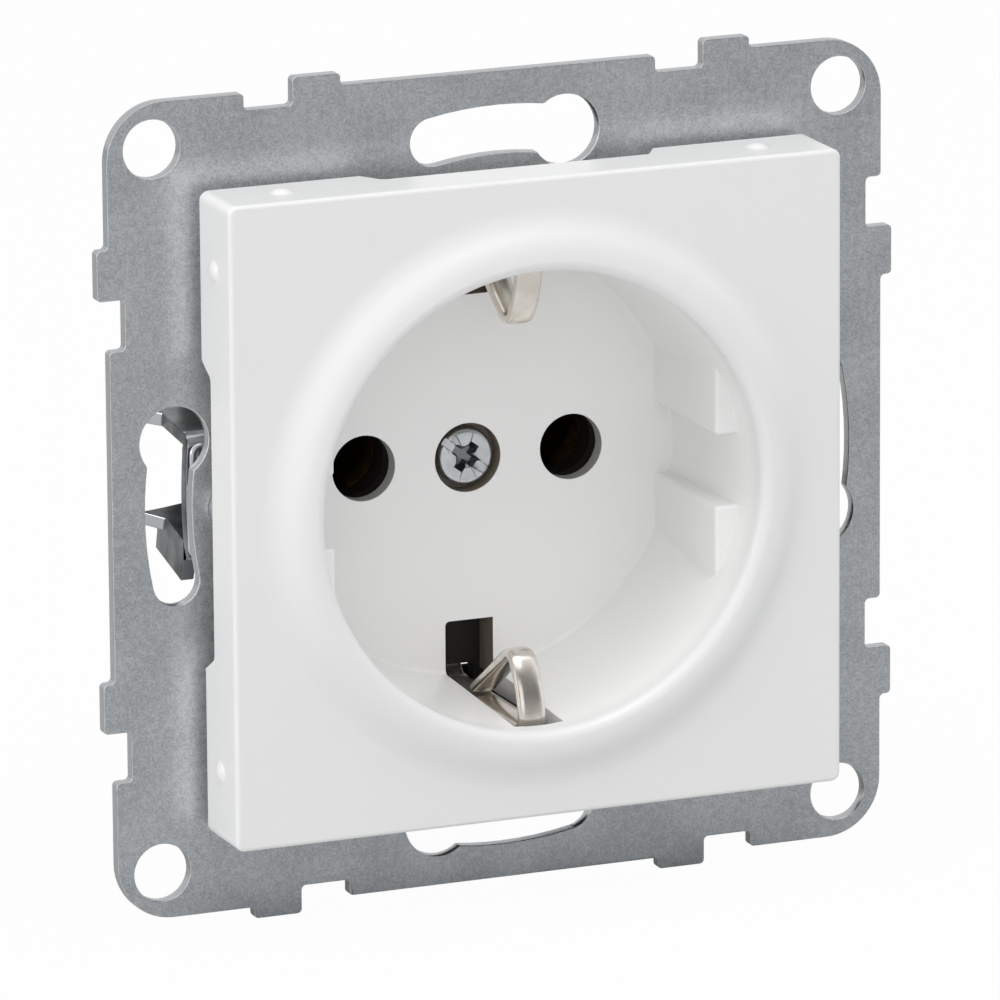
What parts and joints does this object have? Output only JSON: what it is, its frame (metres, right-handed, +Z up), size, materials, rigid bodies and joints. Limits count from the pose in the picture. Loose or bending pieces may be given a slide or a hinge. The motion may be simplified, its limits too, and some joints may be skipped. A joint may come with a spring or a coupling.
{
  "type": "wall socket insert",
  "caption": "Flush wall socket insert with a square white cover, round plug recess, side earth contacts, metal support frame and spreading claws.",
  "frame": {"origin": "centre of the support frame at its back face, which lies on the wall", "axes": "+X right as seen from the front, +Y into the wall, +Z up; the cover faces -Y"},
  "size_m": [0.072, 0.0401, 0.072],
  "materials": {
    "white_plastic": "smooth satin white moulding",
    "galvanised_steel": "matt mottled zinc coating, bright cut edges",
    "zinc_steel": "bright zinc plating",
    "nickel_strip": "polished nickel plating",
    "screw_zinc": "bright zinc plating",
    "dark_plastic": "fine eroded dark moulding",
    "insulator_plastic": "plain dark sheet",
    "brass": "bare stamped brass"
  },
  "bodies": {
    "socket": {"front_cover": "white_plastic", "cover_screw": "screw_zinc", "cover_screw_bush": "brass", "support_frame": "galvanised_steel", "housing_rivets": "screw_zinc", "rear_housing": "dark_plastic", "contact_retainer": "insulator_plastic", "earth_clip": "nickel_strip", "earth_rivets": "screw_zinc", "contact_left": "brass", "contact_right": "brass", "clamp_plate_left": "zinc_steel", "clamp_plate_right": "zinc_steel", "clamp_plate_earth": "zinc_steel", "terminal_screw_left": "screw_zinc", "terminal_screw_right": "screw_zinc", "terminal_screw_earth": "screw_zinc"},
    "claw_left": {"claw_left": "zinc_steel", "claw_spring_left": "screw_zinc"},
    "claw_screw_left": {"claw_screw_left": "screw_zinc"},
    "claw_right": {"claw_right": "zinc_steel", "claw_spring_right": "screw_zinc"},
    "claw_screw_right": {"claw_screw_right": "screw_zinc"}
  },
  "joints": [
    {"name": "claw_screw_left_turn", "type": "hinge", "parent": "socket", "child": "claw_screw_left", "pos_m": [-0.0243, 0, 0], "axis": [0, 1, 0], "range_deg": [0, 540]},
    {"name": "claw_left_spread", "type": "hinge", "parent": "socket", "child": "claw_left", "pos_m": [-0.0243, 0.003, 0], "axis": [0, 0, 1], "range_deg": [0, 18]},
    {"name": "claw_screw_right_turn", "type": "hinge", "parent": "socket", "child": "claw_screw_right", "pos_m": [0.0243, 0, 0], "axis": [0, 1, 0], "range_deg": [0, 540]},
    {"name": "claw_right_spread", "type": "hinge", "parent": "socket", "child": "claw_right", "pos_m": [0.0243, 0.003, 0], "axis": [0, 0, -1], "range_deg": [0, 18]}
  ],
  "couplings": [
    {"joint": "claw_left_spread", "follows": "claw_screw_left_turn", "ratio": 0.033333},
    {"joint": "claw_right_spread", "follows": "claw_screw_right_turn", "ratio": 0.033333}
  ]
}
